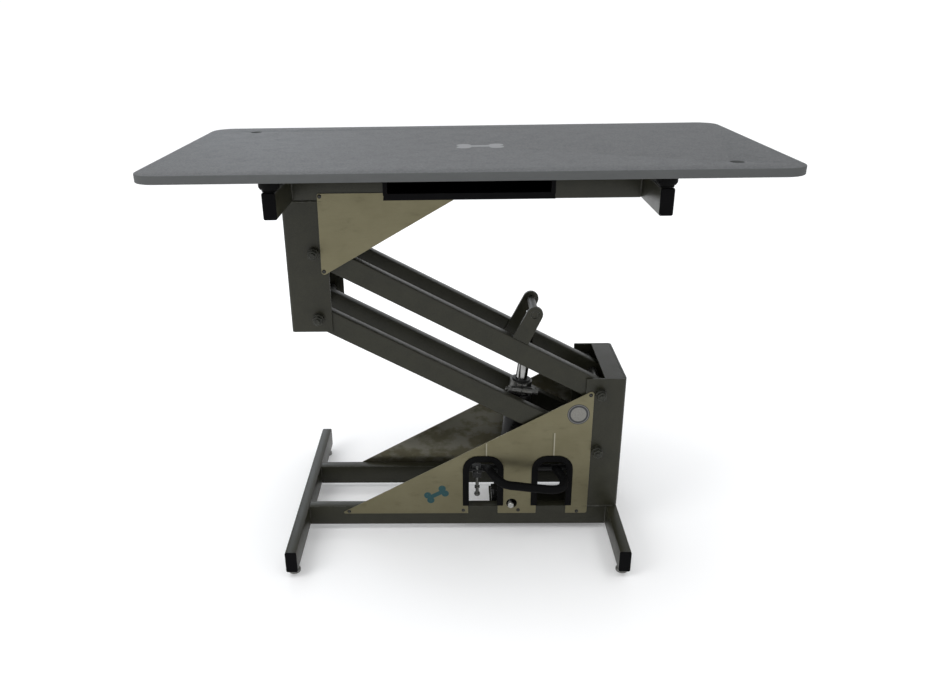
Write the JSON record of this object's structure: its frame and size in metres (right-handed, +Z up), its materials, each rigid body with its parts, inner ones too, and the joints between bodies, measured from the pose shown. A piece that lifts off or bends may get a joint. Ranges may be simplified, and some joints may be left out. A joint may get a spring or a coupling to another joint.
{
  "type": "hydraulic grooming table",
  "caption": "Height-adjustable pet grooming table: parallel-arm lift with a foot-pumped hydraulic jack, steel frame, pebbled top and a small tray.",
  "frame": {"origin": "floor level below the middle of the tabletop", "axes": "+X along the tabletop's long side, to the right as seen from the pedal side; +Y away from the pedal side; +Z up"},
  "size_m": [1.2064, 0.6096, 0.8889],
  "materials": {
    "frame_paint": "hammered grey-olive powder coat",
    "stainless_sheet": "brushed, slightly warm",
    "zinc_steel": "bright zinc plate",
    "chrome_rod": "ground and polished",
    "black_rubber": "matt black",
    "black_plastic": "moulded black, satin",
    "top_grey": "pebbled mid grey",
    "pump_paint": "dark grey enamel"
  },
  "bodies": {
    "base": {"base_foot_left": "frame_paint", "base_foot_right": "frame_paint", "foot_cap_left_front": "black_plastic", "foot_cap_left_rear": "black_plastic", "foot_cap_right_front": "black_plastic", "foot_cap_right_rear": "black_plastic", "levelling_foot_left_front": "zinc_steel", "levelling_foot_left_rear": "zinc_steel", "levelling_foot_right_front": "zinc_steel", "levelling_foot_right_rear": "zinc_steel", "base_rail_front": "frame_paint", "base_rail_rear": "frame_paint", "lift_post": "frame_paint", "lift_post_top_plate": "frame_paint", "pivot_bolt_base_lower": "frame_paint", "pivot_bolt_base_upper": "frame_paint", "lower_cover_front": "stainless_sheet", "lower_cover_rear": "stainless_sheet", "window_trim_left": "black_rubber", "window_trim_right": "black_rubber", "jack_mount": "frame_paint", "jack_pump_body": "pump_paint", "release_valve_screw": "zinc_steel"},
    "lower_arms": {"arm_lower_front": "frame_paint", "arm_lower_rear": "frame_paint", "cross_sleeve_lower_base": "zinc_steel", "cross_sleeve_lower_table": "zinc_steel"},
    "upper_arms": {"arm_upper_front": "frame_paint", "arm_upper_rear": "frame_paint", "cross_sleeve_upper_base": "zinc_steel", "cross_sleeve_upper_table": "zinc_steel", "jack_lug_front": "frame_paint", "jack_lug_rear": "frame_paint", "jack_lug_pin": "frame_paint"},
    "table": {"table_post": "frame_paint", "pivot_bolt_table_lower": "frame_paint", "pivot_bolt_table_upper": "frame_paint", "top_cross_left": "frame_paint", "top_cross_right": "frame_paint", "frame_cap_left_front": "black_plastic", "frame_cap_left_rear": "black_plastic", "frame_cap_right_front": "black_plastic", "frame_cap_right_rear": "black_plastic", "top_pad_left_front": "black_rubber", "top_pad_left_rear": "black_rubber", "top_pad_right_front": "black_rubber", "top_pad_right_rear": "black_rubber", "top_rail_front": "frame_paint", "top_rail_rear": "frame_paint", "tabletop": "top_grey", "storage_tray": "black_plastic", "upper_cover_front": "stainless_sheet", "upper_cover_rear": "stainless_sheet"},
    "jack_barrel": {"jack_cylinder": "pump_paint", "jack_clamp": "zinc_steel", "jack_clamp_bolt": "zinc_steel"},
    "jack_ram": {"jack_rod": "chrome_rod"},
    "pedal": {"pedal_bar": "black_rubber", "pedal_lever": "zinc_steel", "pedal_stop_bolt": "zinc_steel"}
  },
  "joints": [
    {"name": "lift", "type": "hinge", "parent": "base", "child": "lower_arms", "pos_m": [0.2985, 0, 0.2165], "axis": [0, 1, 0], "range_deg": [-26, 14]},
    {"name": "upper_lift", "type": "hinge", "parent": "base", "child": "upper_arms", "pos_m": [0.2985, 0, 0.361], "axis": [0, 1, 0], "range_deg": [-26.05, 14.05]},
    {"name": "table_level", "type": "hinge", "parent": "lower_arms", "child": "table", "pos_m": [-0.316, 0, 0.545], "axis": [0, 1, 0], "range_deg": [-14.05, 26.05]},
    {"name": "jack_swing", "type": "hinge", "parent": "base", "child": "jack_barrel", "pos_m": [0.0964, -0.0305, 0.08], "axis": [0, 1, 0], "range_deg": [-8.97, 4.85]},
    {"name": "ram_slide", "type": "slide", "parent": "jack_barrel", "child": "jack_ram", "axis": [0.1101, 0, 0.9939], "range_m": [-0.082, 0.0444]},
    {"name": "pedal_pump", "type": "hinge", "parent": "base", "child": "pedal", "pos_m": [0.11, -0.07, 0.15], "axis": [1, 0, 0], "range_deg": [-6, 16], "stiffness_Nm_per_rad": 8, "springref_deg": -0.57}
  ],
  "couplings": [
    {"joint": "upper_lift", "follows": "lift", "ratio": 1},
    {"joint": "table_level", "follows": "lift", "ratio": -1},
    {"joint": "jack_swing", "follows": "lift", "ratio": 0.3432},
    {"joint": "ram_slide", "follows": "lift", "m_per_rad": 0.17975}
  ]
}
